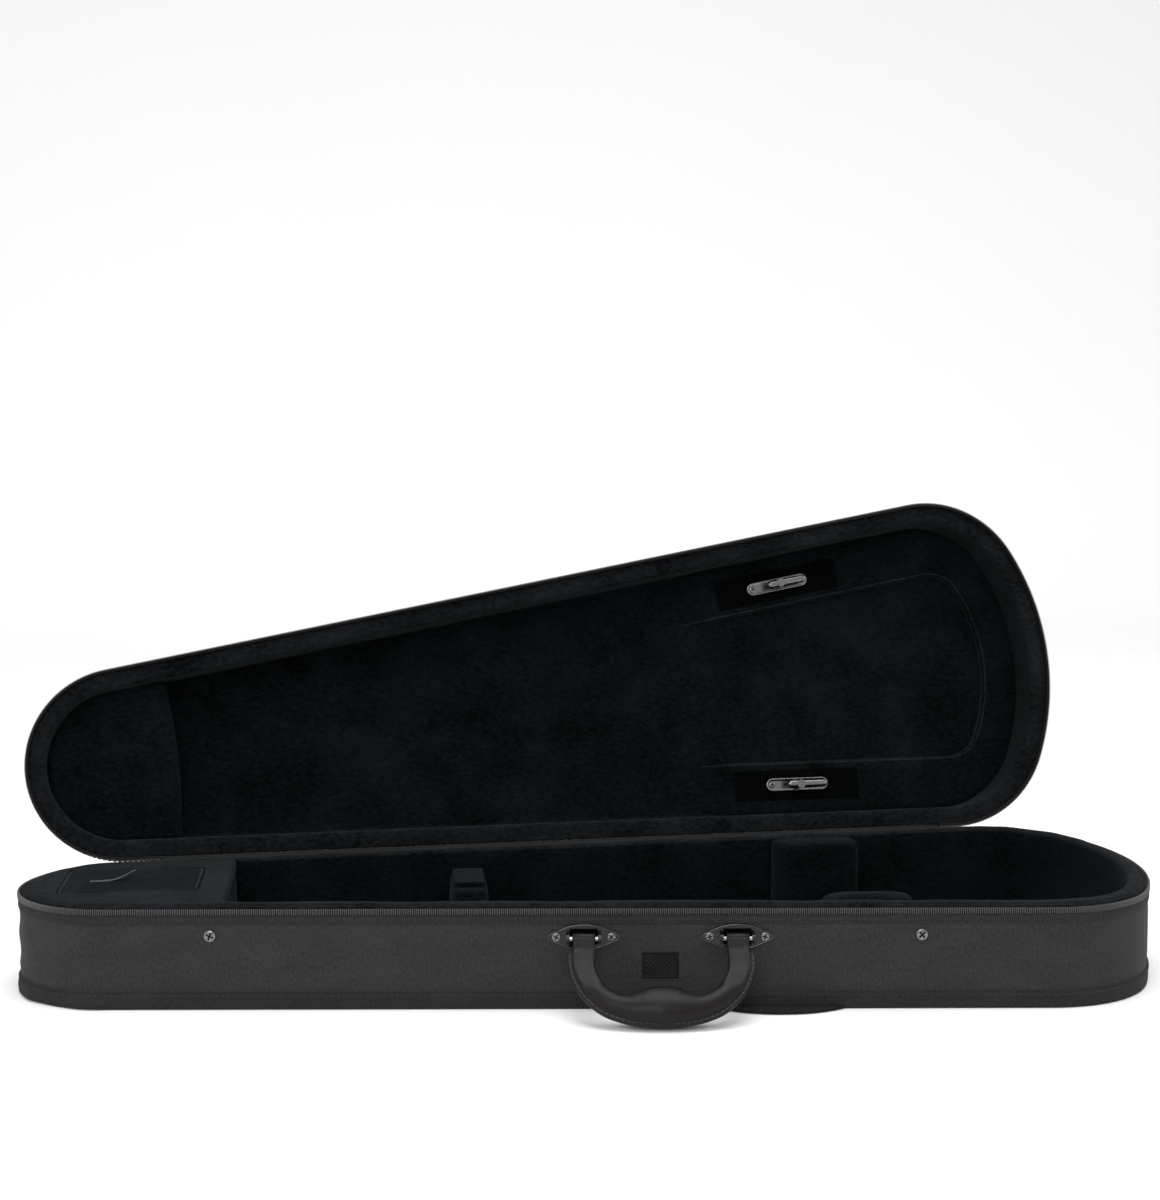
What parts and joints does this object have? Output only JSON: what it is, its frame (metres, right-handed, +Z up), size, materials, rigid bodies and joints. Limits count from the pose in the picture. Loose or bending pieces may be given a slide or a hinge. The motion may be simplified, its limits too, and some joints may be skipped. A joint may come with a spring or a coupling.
{
  "type": "violin case",
  "caption": "Shaped soft violin case, standing open on its base, with a plush-lined well, bow clips in the hinged lid and a swinging carrying handle.",
  "frame": {"origin": "centre of the base's underside, midway along the length and on the line of symmetry of the outline", "axes": "+X towards the wide end, -Y towards the handle side, +Z up"},
  "size_m": [0.7918, 0.3853, 0.3125],
  "materials": {
    "woven_cover": "matt woven nylon",
    "stiff_panel": "matt woven nylon over board",
    "binding": "matt folded binding tape",
    "foam": "raw foam, hidden inside the wall",
    "plush": "short-pile plush",
    "plush_dark": "short-pile plush, pressed flat",
    "zip_tape": "woven zip tape",
    "zip_teeth": "nylon coil, slight sheen",
    "zip_metal": "black painted",
    "plate_metal": "dark satin lacquer",
    "chrome": "bright",
    "clip_metal": "satin, worn bright",
    "leather": "soft sheen",
    "leather_edge": "stitched edge",
    "patch": "embossed, matt",
    "webbing": "herringbone webbing",
    "ribbon": "glossy ribbon"
  },
  "bodies": {
    "base": {"base_bottom": "stiff_panel", "base_binding": "binding", "base_cover": "woven_cover", "base_shell": "foam", "base_lining": "plush", "base_zip_tape": "zip_tape", "base_zip_chain": "zip_teeth", "base_hinge_strip": "binding", "hinge_tab": "binding", "handle_plate_left": "plate_metal", "handle_plate_right": "plate_metal", "handle_pins": "chrome", "handle_screws": "chrome", "wall_screws": "chrome", "front_patch": "patch", "strap_end": "webbing", "waist_pad_front": "plush", "waist_pad_back": "plush", "neck_cradle": "plush", "neck_strap": "webbing", "neck_strap_patch": "webbing", "accessory_divider": "plush", "accessory_frame": "plush", "zip_slider_left": "zip_metal", "zip_slider_right": "zip_metal"},
    "lid": {"lid_panel": "stiff_panel", "lid_binding": "binding", "lid_cover": "woven_cover", "lid_shell": "foam", "lid_lining": "plush", "lid_zip_tape": "zip_tape", "lid_zip_chain": "zip_teeth", "lid_hinge_strip": "binding", "lid_band": "plush", "bow_tip_pocket": "plush", "clip_patch_upper": "plush_dark", "clip_patch_lower": "plush_dark", "clip_plate_upper": "clip_metal", "clip_plate_lower": "clip_metal", "clip_post_upper": "clip_metal", "clip_post_lower": "clip_metal", "clip_screws": "chrome"},
    "handle": {"handle_strap_left": "leather", "handle_strap_right": "leather", "handle_grip": "leather", "handle_welt": "leather_edge"},
    "accessory_lid": {"accessory_lid": "plush", "accessory_tab": "ribbon"},
    "clip_lever_upper": {"clip_lever_upper": "clip_metal"},
    "clip_lever_lower": {"clip_lever_lower": "clip_metal"},
    "zip_pull_left": {"zip_pull_left": "zip_metal"},
    "zip_pull_right": {"zip_pull_right": "zip_metal"}
  },
  "joints": [
    {"name": "lid_hinge", "type": "hinge", "parent": "base", "child": "lid", "pos_m": [-0.01659, 0.0977, 0.067], "axis": [-0.9959, -0.09, 0], "range_deg": [-102.5, 0]},
    {"name": "handle_swing", "type": "hinge", "parent": "base", "child": "handle", "pos_m": [0.03681, -0.10714, 0.048], "axis": [-0.9959, 0.09, 0], "range_deg": [-30, 124]},
    {"name": "accessory_lid_hinge", "type": "hinge", "parent": "base", "child": "accessory_lid", "pos_m": [-0.31325, 0.0337, 0.0698], "axis": [-1, 0, 0], "range_deg": [0, 95]},
    {"name": "clip_turn_upper", "type": "hinge", "parent": "lid", "child": "clip_lever_upper", "pos_m": [0.16578, 0.17929, 0.25093], "axis": [0.0878, -0.9723, 0.2164], "continuous": true},
    {"name": "clip_turn_lower", "type": "hinge", "parent": "lid", "child": "clip_lever_lower", "pos_m": [0.17684, 0.14647, 0.09901], "axis": [0.0878, -0.9723, 0.2164], "continuous": true},
    {"name": "zip_pull_swing_left", "type": "hinge", "parent": "base", "child": "zip_pull_left", "pos_m": [-0.30866, 0.07452, 0.0573], "axis": [0.9959, 0.09, 0], "range_deg": [0, 70]},
    {"name": "zip_pull_swing_right", "type": "hinge", "parent": "base", "child": "zip_pull_right", "pos_m": [0.28786, 0.12842, 0.0573], "axis": [0.9959, 0.09, 0], "range_deg": [0, 70]}
  ]
}
